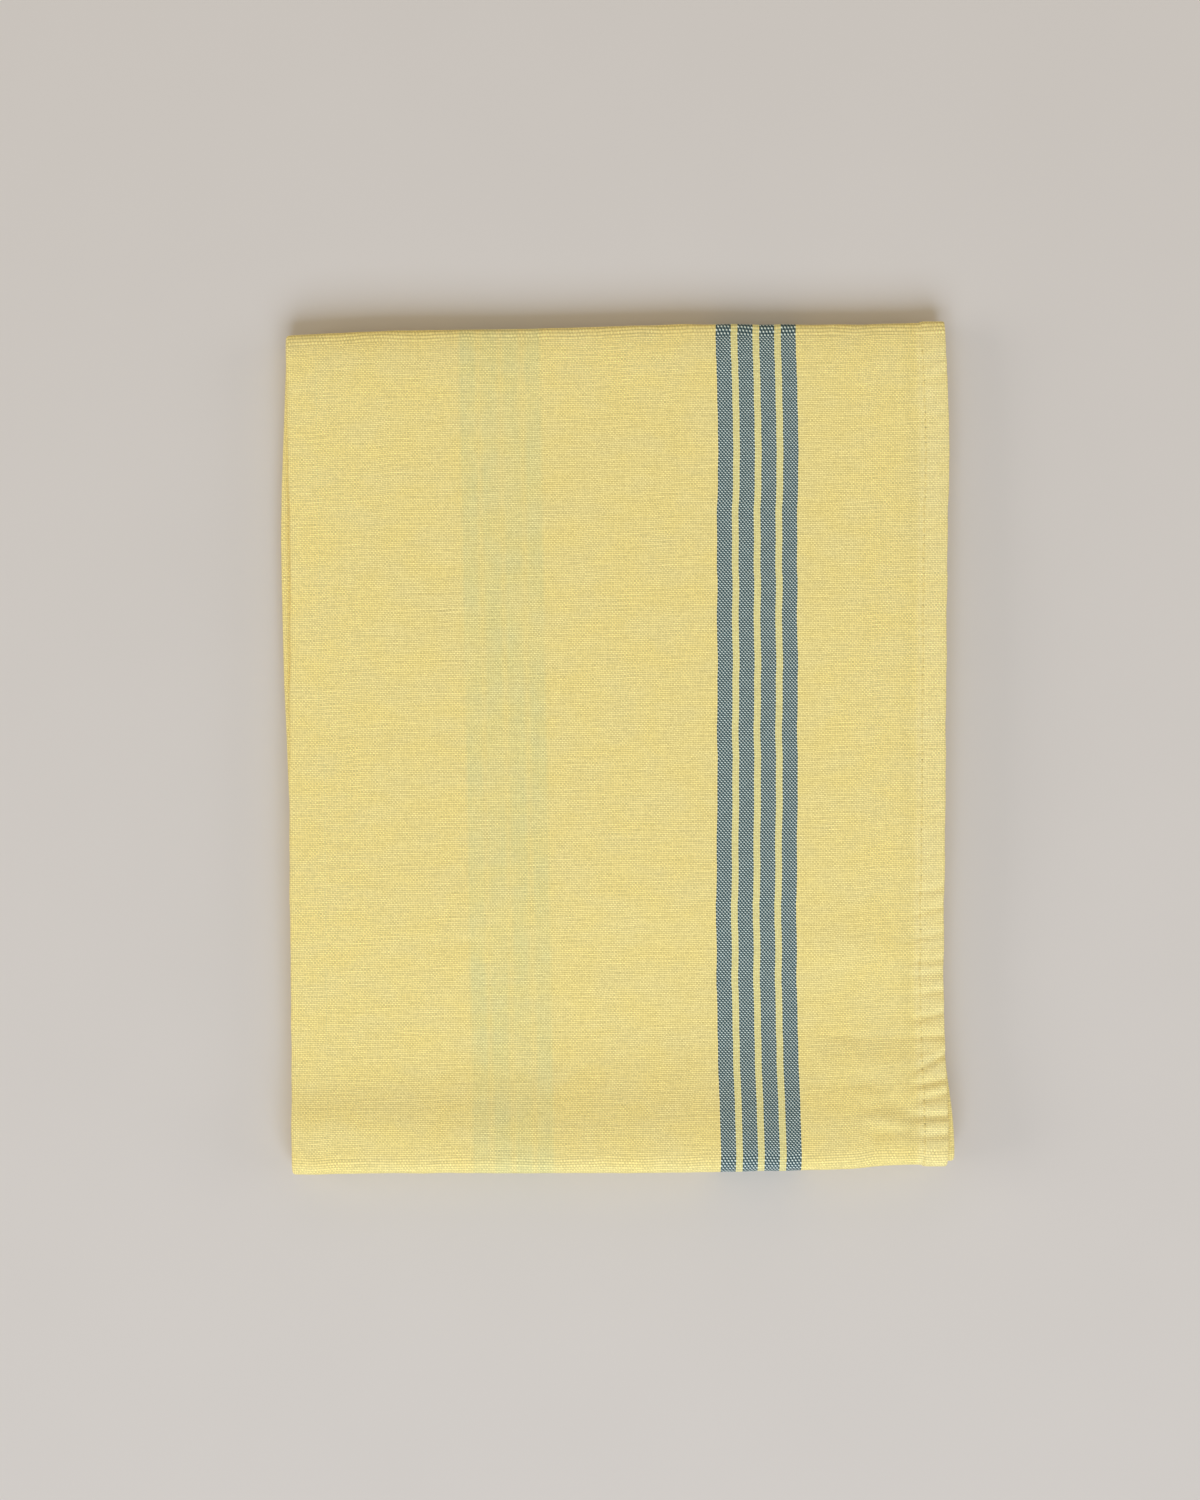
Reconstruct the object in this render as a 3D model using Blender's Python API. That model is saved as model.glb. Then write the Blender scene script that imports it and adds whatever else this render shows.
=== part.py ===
"""Tea towel of plain woven cotton, folded in thirds across its width and then in thirds along its length.

Metres, +Z up. The towel lies flat on its underside. +X runs across the stripes to the sewn side hem,
+Y runs along the stripes, and the origin is the middle of the footprint at the underside.
"""
from bisect import bisect_right
from collections import namedtuple
from math import cos, exp, pi, sin

import bmesh
import bpy

# ---- the cloth
CLOTH = 0.0010            # thickness of one layer
GAP = 0.0003              # air between two layers
HEM_WIDTH = 0.0077        # side hem, turned twice and sewn down
HEM_RISE = 0.0004         # how far the turned hem stands above the single cloth
HEM_SLOPE = 0.0008        # width of the step along the stitches
YELLOW = (0.753, 0.631, 0.242)
ROUGHNESS = 0.9

# ---- the fold across the width: three layers make one bundle
LAYER = CLOTH + GAP       # from one layer to the next
SIDE_REACH = LAYER + CLOTH / 2      # from the middle of a bundle to its outer face
CROSS_CUTS = [-0.079, -0.054, -0.029, -0.004, 0.021, 0.046, 0.070, 0.088]
RIGHT_FOLD_STEPS = 5
LEFT_FOLD_STEPS = 7
HEM_COLUMNS = 2           # the last two points of a section lie on the side hem

# ---- the fold along the length: three bundles, one above the other
BUNDLE = 3 * LAYER
LOWEST, INNER, TOP = [SIDE_REACH + BUNDLE * k for k in range(3)]     # height of each bundle's middle
STACK = TOP + SIDE_REACH
HALF_LENGTH = 0.1295      # from the middle of the block to its end folds
LOWEST_END = 0.1245       # free end of the lowest bundle, under the far fold
INNER_END = -0.1225       # free end of the inner bundle, inside the near fold
LENGTH_CUTS = [-0.119, -0.111, -0.102, -0.092, -0.082, -0.072, -0.062, -0.050, -0.034, -0.010, 0.018, 0.046,
               0.072, 0.094, 0.112]
NEAR_FOLD_STEPS = 9
FAR_FOLD_STEPS = 7

# ---- where the folds and side hems of each bundle lie, at places along the block
Edge = namedtuple("Edge", "y left_fold hem right_fold tucked_hem")
TOP_EDGES = [
    Edge(-0.1295, -0.1000, 0.1018, 0.1043, -0.0890),
    Edge(-0.1150, -0.1001, 0.1020, 0.1036, -0.0893),
    Edge(-0.0940, -0.1004, 0.1012, 0.1012, -0.0897),
    Edge(-0.0660, -0.1005, 0.1008, 0.1003, -0.0902),
    Edge(-0.0250, -0.1009, 0.1012, 0.1005, -0.0909),
    Edge(0.0150, -0.1008, 0.1015, 0.1008, -0.0917),
    Edge(0.0580, -0.1006, 0.1019, 0.1010, -0.0925),
    Edge(0.0920, -0.1014, 0.1026, 0.1012, -0.0931),
    Edge(0.1295, -0.1021, 0.1013, 0.1008, -0.0938),
]
INNER_EDGES = [
    Edge(-0.1295, -0.0996, 0.1004, 0.1000, -0.0900),
    Edge(-0.0600, -0.0998, 0.0998, 0.0996, -0.0908),
    Edge(-0.0250, -0.1008, 0.0998, 0.1000, -0.0914),
    Edge(0.0000, -0.1018, 0.1000, 0.1003, -0.0918),
    Edge(0.0240, -0.1029, 0.1004, 0.1005, -0.0922),
    Edge(0.0640, -0.1038, 0.1010, 0.1006, -0.0928),
    Edge(0.0850, -0.1036, 0.1012, 0.1006, -0.0931),
    Edge(0.1050, -0.1028, 0.1012, 0.1006, -0.0934),
    Edge(0.1295, -0.1021, 0.1010, 0.1006, -0.0938),
]
LOWEST_EDGES = [
    Edge(-0.1295, -0.1000, 0.1016, 0.1040, -0.0890),
    Edge(-0.1100, -0.0998, 0.1008, 0.1022, -0.0895),
    Edge(-0.0600, -0.0996, 0.1000, 0.1004, -0.0903),
    Edge(0.0100, -0.1012, 0.0996, 0.1002, -0.0915),
    Edge(0.0700, -0.1026, 0.1002, 0.1008, -0.0925),
    Edge(0.1295, -0.1012, 0.1008, 0.1004, -0.0938),
]

# ---- the end folds, from left to right: where they lie, seen from above, where the top is highest beside
# the near one and how much it rises to there, and how much it falls to the far one
EndFolds = namedtuple("EndFolds", "x near far near_ridge near_loft far_fall")
END_FOLDS = [
    EndFolds(-0.1020, -0.1315, 0.1278, -0.1180, 0.0027, 0.0000),
    EndFolds(-0.0710, -0.1308, 0.1291, -0.1190, 0.0032, 0.0002),
    EndFolds(-0.0170, -0.1306, 0.1301, -0.1235, 0.0046, 0.0010),
    EndFolds(0.0200, -0.1304, 0.1312, -0.1248, 0.0050, 0.0012),
    EndFolds(0.0690, -0.1294, 0.1312, -0.1248, 0.0049, 0.0012),
    EndFolds(0.0850, -0.1282, 0.1315, -0.1245, 0.0046, 0.0012),
    EndFolds(0.1020, -0.1284, 0.1319, -0.1240, 0.0041, 0.0012),
]

# ---- the top's relief: the layers are lofty, but pressed down in a trough beside the near fold
LOFT = 0.0012             # what the lofty layers add to the stack
TROUGH_MIDDLE = -0.086    # the trough's place along the block, half-way across it
TROUGH_SKEW = 0.10        # how far it drifts towards the far end for each metre to the right
TROUGH_FAR_SIDE = 0.049   # length of its long slope, up to the flat of the towel
NEAR_RISE_LATE = 1.55     # above 1, its short slope is steepest close to the near ridge
FAR_FALL_START = 0.015    # from here the top falls gently to the far fold
Swell = namedtuple("Swell", "x y reach_x reach_y height")
SWELL = Swell(0.078, -0.062, 0.020, 0.010, 0.0009)      # a soft bulge beside the side hem

# a place along a fold: where the middle of the cloth is, and which way its outer face looks
Place = namedtuple("Place", "at height out_at out_height")


def read_along(table, key, column, at):
    """A smooth curve through one column of a table, against its key column."""
    keys = [getattr(row, key) for row in table]
    values = [getattr(row, column) for row in table]
    k = min(max(bisect_right(keys, at) - 1, 0), len(keys) - 2)

    def slope(n):
        before, after = max(n - 1, 0), min(n + 1, len(keys) - 1)
        return (values[after] - values[before]) / (keys[after] - keys[before])

    span = keys[k + 1] - keys[k]
    t = min(max((at - keys[k]) / span, 0.0), 1.0)
    start = values[k] * (1 + 2 * t) + slope(k) * span * t
    end = values[k + 1] * (3 - 2 * t) - slope(k + 1) * span * (1 - t)
    return start * (1 - t) ** 2 + end * t ** 2


def edges_at(table, y):
    return Edge(y, *[read_along(table, "y", name, y) for name in Edge._fields[1:]])


def blend(before, after, share):
    return Edge(*[a + (b - a) * share for a, b in zip(before, after)])


def straight(places, height, out):
    return [Place(at, height, 0.0, out) for at in places]


def half_turn(centre, level, radius, start, steps):
    """The cloth round a fold. It turns clockwise, from the start angle."""
    angles = [start - pi * k / steps for k in range(steps + 1)]
    return [Place(centre + radius * cos(a), level + radius * sin(a), cos(a), sin(a)) for a in angles]


def fold_across(edge):
    """One section of a bundle: tucked panel, right fold, panel below, left fold and panel above."""
    right_centre = edge.right_fold - CLOTH / 2 - LAYER / 2
    left_centre = edge.left_fold + SIDE_REACH
    hem_start = edge.hem - HEM_WIDTH
    section = straight([edge.tucked_hem] + CROSS_CUTS, 0.0, 1.0)
    section += half_turn(right_centre, -LAYER / 2, LAYER / 2, pi / 2, RIGHT_FOLD_STEPS)
    section += straight(CROSS_CUTS[::-1], -LAYER, -1.0)
    section += half_turn(left_centre, 0.0, LAYER, -pi / 2, LEFT_FOLD_STEPS)
    section += straight(CROSS_CUTS + [hem_start - HEM_SLOPE, hem_start, edge.hem], LAYER, 1.0)
    return section


def fold_along():
    """Stations along the length: the place there, the bundle's edges, and how far its hem has risen."""
    near_radius, far_radius = (TOP - LOWEST) / 2, (TOP - INNER) / 2
    near_centre = -HALF_LENGTH + near_radius + SIDE_REACH
    far_centre = HALF_LENGTH - far_radius - SIDE_REACH

    def bundle(table, places, rise):
        return [(place, edges_at(table, place.at), rise) for place in places]

    def fold(before, after, places, rises):
        shares = [k / (len(places) - 1) for k in range(len(places))]
        return [(place, blend(edges_at(before, place.at), edges_at(after, place.at), share),
                 rises[0] + (rises[1] - rises[0]) * share)
                for place, share in zip(places, shares)]

    return (
        bundle(LOWEST_EDGES, straight([LOWEST_END] + LENGTH_CUTS[::-1], LOWEST, -1.0), 0.0)
        + fold(LOWEST_EDGES, TOP_EDGES, rises=(0.0, HEM_RISE), places=half_turn(
            near_centre, LOWEST + near_radius, near_radius, -pi / 2, NEAR_FOLD_STEPS))
        + bundle(TOP_EDGES, straight(LENGTH_CUTS, TOP, 1.0), HEM_RISE)
        + fold(TOP_EDGES, INNER_EDGES, rises=(HEM_RISE, 0.0), places=half_turn(
            far_centre, INNER + far_radius, far_radius, pi / 2, FAR_FOLD_STEPS))
        + bundle(INNER_EDGES, straight(LENGTH_CUTS[::-1] + [INNER_END], INNER, -1.0), 0.0))


def ramp(start, end, at):
    """0 up to the start and 1 from the end on, with soft ends."""
    share = min(max((at - start) / (end - start), 0.0), 1.0)
    return (1 - cos(pi * share)) / 2


def loft(x, y, folds):
    """How far the layers' loft raises the top of the stack at one place."""
    trough = TROUGH_MIDDLE + TROUGH_SKEW * x
    if y < trough:
        share = min((trough - y) / (trough - folds.near_ridge), 1.0)
        return folds.near_loft * (1 - cos(pi * share ** NEAR_RISE_LATE)) / 2
    off_x, off_y = (x - SWELL.x) / SWELL.reach_x, (y - SWELL.y) / SWELL.reach_y
    raised = LOFT * ramp(trough, trough + TROUGH_FAR_SIDE, y) + SWELL.height * exp(-off_x ** 2 - off_y ** 2)
    return raised - folds.far_fall * ramp(FAR_FALL_START, folds.far, y)


def settle(x, y, z):
    """Lays the folded stack in its uneven outline and gives the layers their loft."""
    folds = EndFolds(x, *[read_along(END_FOLDS, "x", name, x) for name in EndFolds._fields[1:]])
    y = folds.near + (folds.far - folds.near) * (y + HALF_LENGTH) / (2 * HALF_LENGTH)
    return x, y, z * (1 + loft(x, y, folds) / STACK)


def folded(station, across, face, rise):
    """Where a point of the flat towel comes to lie. Its outer face is 1 and its inner face is -1."""
    side = face * CLOTH / 2
    x = across.at + side * across.out_at
    height = across.height + side * across.out_height + rise
    return settle(x, station.at + height * station.out_at, station.height + height * station.out_height)


def make_cloth_material():
    material = bpy.data.materials.new("yellow cotton")
    material.use_nodes = True
    shader = material.node_tree.nodes["Principled BSDF"]
    shader.inputs["Base Color"].default_value = (*YELLOW, 1.0)
    shader.inputs["Roughness"].default_value = ROUGHNESS
    shader.inputs["Metallic"].default_value = 0.0
    return material


def make_flat_slab(across, along):
    """The towel laid out flat, as a thin slab with a cut wherever it bends, and its outer face's points."""
    slab = bmesh.new()
    bmesh.ops.create_grid(slab, x_segments=across, y_segments=along, size=0.5)
    raised = bmesh.ops.extrude_face_region(slab, geom=slab.faces[:], use_keep_orig=True)["geom"]
    outer = {item for item in raised if isinstance(item, bmesh.types.BMVert)}
    bmesh.ops.translate(slab, verts=list(outer), vec=(0.0, 0.0, 1.0))
    bmesh.ops.recalc_face_normals(slab, faces=slab.faces)
    return slab, outer


def make_towel():
    stations = fold_along()
    sections = [fold_across(edge) for _, edge, _ in stations]
    across, along = len(sections[0]) - 1, len(stations) - 1
    towel, outer = make_flat_slab(across, along)

    for vert in towel.verts:
        column = round((vert.co.x + 0.5) * across)
        row = round((vert.co.y + 0.5) * along)
        place, _, hem_rise = stations[row]
        on_hem = vert in outer and column > across - HEM_COLUMNS
        face = 1 if vert in outer else -1
        vert.co = folded(place, sections[row][column], face, hem_rise if on_hem else 0.0)

    for axis in (0, 1):
        places = [vert.co[axis] for vert in towel.verts]
        middle = (min(places) + max(places)) / 2
        for vert in towel.verts:
            vert.co[axis] -= middle

    mesh = bpy.data.meshes.new("towel")
    towel.to_mesh(mesh)
    towel.free()
    mesh.materials.append(make_cloth_material())
    mesh.shade_smooth()
    mesh.set_sharp_from_angle(angle=pi / 4)
    bpy.context.collection.objects.link(bpy.data.objects.new("towel", mesh))


for old in list(bpy.data.objects):
    bpy.data.objects.remove(old)
make_towel()
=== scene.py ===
from bisect import bisect_right
from collections import namedtuple
from math import cos, exp, hypot, pi, radians, sin, sqrt

import bmesh
import bpy
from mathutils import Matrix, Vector, noise


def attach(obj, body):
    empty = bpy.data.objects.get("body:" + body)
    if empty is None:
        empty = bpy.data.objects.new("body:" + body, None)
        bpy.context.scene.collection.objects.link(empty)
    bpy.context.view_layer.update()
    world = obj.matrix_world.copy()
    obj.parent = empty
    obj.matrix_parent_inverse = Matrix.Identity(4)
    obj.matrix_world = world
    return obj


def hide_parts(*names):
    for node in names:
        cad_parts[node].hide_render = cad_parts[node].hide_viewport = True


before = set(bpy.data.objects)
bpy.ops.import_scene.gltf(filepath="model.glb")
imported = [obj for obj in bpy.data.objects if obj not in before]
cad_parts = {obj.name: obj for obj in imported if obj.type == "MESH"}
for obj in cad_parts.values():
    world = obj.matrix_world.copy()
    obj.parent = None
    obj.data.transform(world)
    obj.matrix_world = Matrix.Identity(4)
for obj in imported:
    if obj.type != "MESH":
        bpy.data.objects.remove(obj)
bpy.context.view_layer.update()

# ==== The cloth =====================================================================================
# One rectangle of plain-woven cotton, about 60 by 76 cm, its sides and ends turned twice and sewn down.
# It is folded in thirds across its width, so that the sewn side lies on top at the right, and that
# bundle of three layers is folded in thirds along its length: nine layers lie on each other.

LAYER = 0.0013            # from one layer to the next
HALF_LAYER = 0.0005       # half of the room that a layer takes up, without the air over it
BUNDLE = 3 * LAYER        # from one bundle of three layers to the next
REACH = LAYER + HALF_LAYER                                      # from a bundle's middle to its outer face
LOWEST, INNER, TOP = [REACH + BUNDLE * k for k in range(3)]     # the middles of the three bundles
STACK = TOP + REACH

SINGLE = 0.00080          # thickness of the single cloth
HEM_CLOTH = 0.00120       # and of the turned hem
OUTER_LAYER = REACH - SINGLE / 2     # from a bundle's middle to the middle of its outer cloth
SAME_LAYER = 0.0002       # cloth within this of the bundle's middle is its middle layer
HEM_WIDTH = 0.0077
HEM_STEP = 0.0008         # the hem's thickness falls away over this width
END_HEM_RISE = 0.0002     # the hems at the two ends thicken to the free side of their layer by this
SEAM = 0.0073             # the stitches, from the edge
STITCH_SPACING = 0.00237
PINCH, PINCH_WIDTH = 0.00006, 0.0004     # where the stitches draw the hem thinner
BLUNT = 0.2               # a turned edge keeps this share of its thickness
ROUNDING = [0.0, 0.00004, 0.00012, 0.00025, 0.0004, 0.0007]     # cuts that round a turned edge
HEM_CUTS = [0.0013, 0.0021, 0.0030, 0.0039, 0.0048, 0.0057, 0.0066, 0.0071, 0.0075, 0.0079,
            0.0084, 0.0092, 0.0103, 0.0117, 0.0134]
TOP_STEPS = 96            # columns of the mesh over the panel on top
HIDDEN_STEPS = 12         # and over each panel under it
LEFT_TURN_STEPS, RIGHT_TURN_STEPS, END_TURN_STEPS = 12, 9, 16

HALF_LENGTH = 0.1295      # of the stack, before its ends get their uneven outline
LOWEST_END = 0.1245       # the free end of the lowest bundle
INNER_END = -0.1225       # and of the bundle between it and the top
CREASED_END = -0.040      # the mesh has closer rows up to here, where the top is creased
ROLL_START = 0.112        # and from here on, where the top rolls down to the far fold
HIDDEN_ROWS, CREASED_ROWS, PLAIN_ROWS, ROLL_ROWS = 16, 104, 78, 14

# where the folds and the two side hems lie, for each bundle, along the towel
Edge = namedtuple("Edge", "y left_fold hem right_fold tucked_hem")
TOP_EDGES = [
    Edge(-0.1295, -0.1000, 0.1018, 0.1043, -0.0890),
    Edge(-0.1150, -0.1001, 0.1020, 0.1036, -0.0893),
    Edge(-0.0940, -0.1004, 0.1012, 0.1012, -0.0897),
    Edge(-0.0660, -0.1005, 0.1008, 0.1003, -0.0902),
    Edge(-0.0250, -0.1009, 0.1012, 0.1005, -0.0909),
    Edge(0.0150, -0.1008, 0.1015, 0.1008, -0.0917),
    Edge(0.0580, -0.1006, 0.1019, 0.1010, -0.0925),
    Edge(0.0920, -0.1014, 0.1026, 0.1012, -0.0931),
    Edge(0.1295, -0.1021, 0.1013, 0.1008, -0.0938),
]
INNER_EDGES = [
    Edge(-0.1295, -0.0996, 0.1004, 0.1000, -0.0900),
    Edge(-0.0600, -0.0998, 0.0998, 0.0996, -0.0908),
    Edge(-0.0250, -0.1008, 0.0998, 0.1000, -0.0914),
    Edge(0.0000, -0.1018, 0.1000, 0.1003, -0.0918),
    Edge(0.0240, -0.1029, 0.1004, 0.1005, -0.0922),
    Edge(0.0640, -0.1038, 0.1010, 0.1006, -0.0928),
    Edge(0.0850, -0.1036, 0.1012, 0.1006, -0.0931),
    Edge(0.1050, -0.1028, 0.1012, 0.1006, -0.0934),
    Edge(0.1295, -0.1021, 0.1010, 0.1006, -0.0938),
]
LOWEST_EDGES = [
    Edge(-0.1295, -0.1000, 0.1016, 0.1040, -0.0890),
    Edge(-0.1100, -0.0998, 0.1008, 0.1022, -0.0895),
    Edge(-0.0600, -0.0996, 0.1000, 0.1004, -0.0903),
    Edge(0.0100, -0.1012, 0.0996, 0.1002, -0.0915),
    Edge(0.0700, -0.1026, 0.1002, 0.1008, -0.0925),
    Edge(0.1295, -0.1012, 0.1008, 0.1004, -0.0938),
]

# the two folds at the ends, across the towel: where they lie, where the top is highest beside the near one
# and how much it rises to there, and how much it falls to the far one, over a long way and then at its rim
EndFolds = namedtuple("EndFolds", "x near far near_ridge near_loft far_fall far_roll")
END_FOLDS = [
    EndFolds(-0.1020, -0.13145, 0.12785, -0.1180, 0.0027, 0.0000, 0.0026),
    EndFolds(-0.0710, -0.13085, 0.12915, -0.1190, 0.0032, 0.0002, 0.0025),
    EndFolds(-0.0170, -0.13065, 0.13015, -0.1235, 0.0046, 0.0013, 0.0022),
    EndFolds(0.0200, -0.13045, 0.13125, -0.1248, 0.0050, 0.0016, 0.0021),
    EndFolds(0.0690, -0.12945, 0.13125, -0.1248, 0.0049, 0.0017, 0.0023),
    EndFolds(0.0850, -0.12825, 0.13155, -0.1245, 0.0046, 0.0017, 0.0024),
    EndFolds(0.1020, -0.12845, 0.13195, -0.1240, 0.0041, 0.0016, 0.0024),
]

# how square each turn of the cloth is pressed: 2 is round
NEAR_SQUARE, FAR_SQUARE, LEFT_SQUARE, RIGHT_SQUARE = 3.0, 9.0, 4.0, 2.6

# the top dips in a long trough on its way from the far fold to the near one
LOFT = 0.0012             # from the trough's bottom up to the level part
TROUGH_MIDDLE = -0.0845
TROUGH_SKEW = 0.13        # the trough runs away from the near fold towards the right
TROUGH_FAR_SIDE = 0.049   # from its middle to the level part
NEAR_RISE_LATE = 1.42     # over 1, most of the rise lies close to the ridge
FAR_FALL_START = 0.015
FAR_ROLL_REACH = 0.005
LEFT_ROLL, RIGHT_ROLL = 0.0016, 0.0008     # the stack also thins towards its sides
SIDE_ROLL_EDGE = 0.101    # where it is thinner by that much
SIDE_ROLL_REACH = 0.006

# the folds and the hem's edge aren't quite straight: how far each wavers, and how far apart its waves are
NEAR_WAVER, FAR_WAVER, END_WAVER_SPACING = 0.00020, 0.00016, 0.008
LEFT_WAVER, LEFT_WAVER_SPACING = 0.00025, 0.012
HEM_WAVER, HEM_WAVER_SPACING = 0.00025, 0.011
FINE_HEM_WAVER, FINE_HEM_WAVER_SPACING = 0.00012, 0.003

# creases of the top layer, from end to end: half a width, and a height that is below zero for a trough
Crease = namedtuple("Crease", "x0 y0 x1 y1 width height")
CREASES = [
    Crease(-0.004, 0.080, 0.021, 0.048, 0.0016, -0.00012),
    Crease(-0.097, 0.006, -0.041, 0.0065, 0.0018, -0.00014),
    Crease(-0.066, -0.058, -0.044, -0.0585, 0.0014, -0.00012),
    Crease(0.060, -0.0600, 0.092, -0.0640, 0.0085, 0.00090),
    Crease(0.062, -0.0955, 0.092, -0.0975, 0.0050, 0.00060),
    Crease(0.066, -0.0885, 0.090, -0.0905, 0.0014, -0.00020),
    Crease(0.074, -0.1060, 0.084, -0.1080, 0.0024, 0.00040),
    Crease(0.082, -0.1080, 0.093, -0.1150, 0.0024, -0.00045),
    Crease(0.076, -0.1130, 0.087, -0.1165, 0.0022, 0.00045),
    Crease(0.078, -0.1190, 0.090, -0.1185, 0.0020, -0.00035),
    Crease(-0.072, 0.0590, -0.083, 0.0570, 0.0024, -0.00016),
]
CREASE_FADE = 0.25        # the share of its length over which a crease sets in and ends
CREASE_WAVER, CREASE_WAVER_SPACING = 0.0006, 0.008
CREASES_START, CREASES_FULL = 0.001, 0.009     # from the left fold, which is pressed smooth

# the soft unevenness of washed cotton, strongest at the near right corner
Hills = namedtuple("Hills", "height spacing seed")
BROAD_HILLS = Hills(0.00009, 0.022, 0.0)
FINE_HILLS = [Hills(0.00005, 0.009, 2.0), Hills(0.00003, 0.004, 4.0)]
HILL_SHAPE = 1.3          # times as wide across the towel as along it
CORNER_X, CORNER_Y, CORNER_WIDTH, CORNER_LENGTH = 0.085, -0.113, 0.030, 0.022
CORNER_MORE = 2.5

# the small folds that the stitches pull into the hem: where each meets the seam, what it rises towards the
# far end on its way to the edge, and how deep it is
Pucker = namedtuple("Pucker", "y rise depth")
PUCKERS = [
    Pucker(-0.0455, 0.0018, 0.00028),
    Pucker(-0.0520, 0.0022, 0.00036),
    Pucker(-0.0595, 0.0018, 0.00032),
    Pucker(-0.0668, 0.0006, 0.00040),
    Pucker(-0.0710, 0.0012, 0.00028),
    Pucker(-0.0766, 0.0010, 0.00044),
    Pucker(-0.0840, 0.0016, 0.00060),
    Pucker(-0.0897, 0.0004, 0.00050),
    Pucker(-0.0989, 0.0038, 0.00062),
    Pucker(-0.1042, 0.0016, 0.00052),
    Pucker(-0.1087, 0.0020, 0.00040),
    Pucker(-0.1140, 0.0004, 0.00060),
    Pucker(-0.1200, 0.0006, 0.00046),
]
FAINT_PUCKERS = 29        # more of them, up to the far end
FAINT_START, FAINT_SPACING, FAINT_RISE, FAINT_DEPTH = -0.0400, 0.0056, 0.0028, 0.00016
PUCKERS += [Pucker(FAINT_START + FAINT_SPACING * k, FAINT_RISE, FAINT_DEPTH) for k in range(FAINT_PUCKERS)]
PUCKER_WIDTH = 0.0009
SWELL, SWELL_PLACE, SWELL_WIDTH = 0.45, 0.0024, 0.0016     # the cloth beside a pucker, against its depth
PUCKER_REACH = 0.004
PUCKER_AT_SEAM, PUCKER_GROWS = 0.75, 0.4                   # its depth, and how much it deepens to the edge
PUCKERS_FADE, PUCKERS_END = HEM_WIDTH - 0.001, HEM_WIDTH + 0.006     # from the hem's edge

# the stripes lean against the hem by this much, along the towel
Lean = namedtuple("Lean", "y by")
STRIPE_LEAN = [
    Lean(-0.1300, -0.0003), Lean(-0.1150, 0.0002), Lean(-0.0965, 0.0001), Lean(-0.0780, 0.0000),
    Lean(-0.0450, 0.0003), Lean(0.0200, 0.0006), Lean(0.0880, 0.0014), Lean(0.1300, 0.0010),
]
LEAN_START, LEAN_FULL = 0.010, 0.040     # from the hem's edge: the cloth beside the hem doesn't lean
NOTHING_BENEATH = 0.3     # further from the tucked hem than any of its stripes

# a place in the flat or folded cloth: how far along, how high, and which way its outer face looks
Place = namedtuple("Place", "at height out_at out_height")
# a row of the cloth's mesh: its place, its bundle's edges, how far it is on top (0 to 1), what the hem
# rises there, and the distances from the nearest end and from the first row
Row = namedtuple("Row", "place edge on_top hem_rise from_end along")


def read_along(table, key, column, at):
    """A smooth curve through one column of a table, against its key column."""
    keys = [getattr(row, key) for row in table]
    values = [getattr(row, column) for row in table]
    k = min(max(bisect_right(keys, at) - 1, 0), len(keys) - 2)

    def slope(n):
        before, after = max(n - 1, 0), min(n + 1, len(keys) - 1)
        return (values[after] - values[before]) / (keys[after] - keys[before])

    span = keys[k + 1] - keys[k]
    t = min(max((at - keys[k]) / span, 0.0), 1.0)
    start = values[k] * (1 + 2 * t) + slope(k) * span * t
    end = values[k + 1] * (3 - 2 * t) - slope(k + 1) * span * (1 - t)
    return start * (1 - t) ** 2 + end * t ** 2


def edges_at(table, y):
    """The folds and hems of one bundle at this place along the towel."""
    return Edge(y, *[read_along(table, "y", name, y) for name in Edge._fields[1:]])


def blend(before, after, share):
    """Edges between those of two bundles."""
    return Edge(*[a + (b - a) * share for a, b in zip(before, after)])


def ramp(low, high, value):
    """0 at low and 1 at high, with soft ends."""
    t = min(max((value - low) / (high - low), 0.0), 1.0)
    return t * t * (3 - 2 * t)


def bumpy(x, y, spacing, seed):
    """Smooth noise of about -1 to 1, with hills this far apart."""
    return noise.noise(Vector((x / spacing, y / spacing, seed)))


def evenly(start, end, count):
    """The places that part start from end into a count of equal steps."""
    return [start + (end - start) * k / count for k in range(1, count)]


def straight(places, height, out):
    """Level cloth, whose outer face looks up (out is 1) or down (-1)."""
    return [Place(at, height, 0.0, out) for at in places]


def half_turn(centre, level, radius, start, steps, square):
    """The middle of the cloth round a fold, pressed towards a square."""
    places = []
    for k in range(steps + 1):
        angle = start - pi * k / steps
        press = (abs(cos(angle)) ** square + abs(sin(angle)) ** square) ** (-1 / square)
        out_at, out_height = press * cos(angle), press * sin(angle)
        places.append(Place(centre + radius * out_at, level + radius * out_height, out_at, out_height))
    return places


def section_at(edge):
    """The cloth across its width, from the tucked hem to the hem on top."""
    turn = OUTER_LAYER / 2
    right = edge.right_fold - SINGLE / 2 - turn
    left = edge.left_fold + REACH
    tucked = [edge.tucked_hem + cut for cut in ROUNDING + HEM_CUTS[::3]]
    shown = [edge.hem - cut for cut in (ROUNDING + HEM_CUTS)[::-1]]
    section = straight(tucked + evenly(tucked[-1], right, HIDDEN_STEPS), 0.0, 1.0)
    section += half_turn(right, -turn, turn, pi / 2, RIGHT_TURN_STEPS, RIGHT_SQUARE)
    section += straight(evenly(right, left, HIDDEN_STEPS), -OUTER_LAYER, -1.0)
    section += half_turn(left, 0.0, OUTER_LAYER, -pi / 2, LEFT_TURN_STEPS, LEFT_SQUARE)
    section += straight(evenly(left, shown[0], TOP_STEPS) + shown, OUTER_LAYER, 1.0)
    return section


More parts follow.
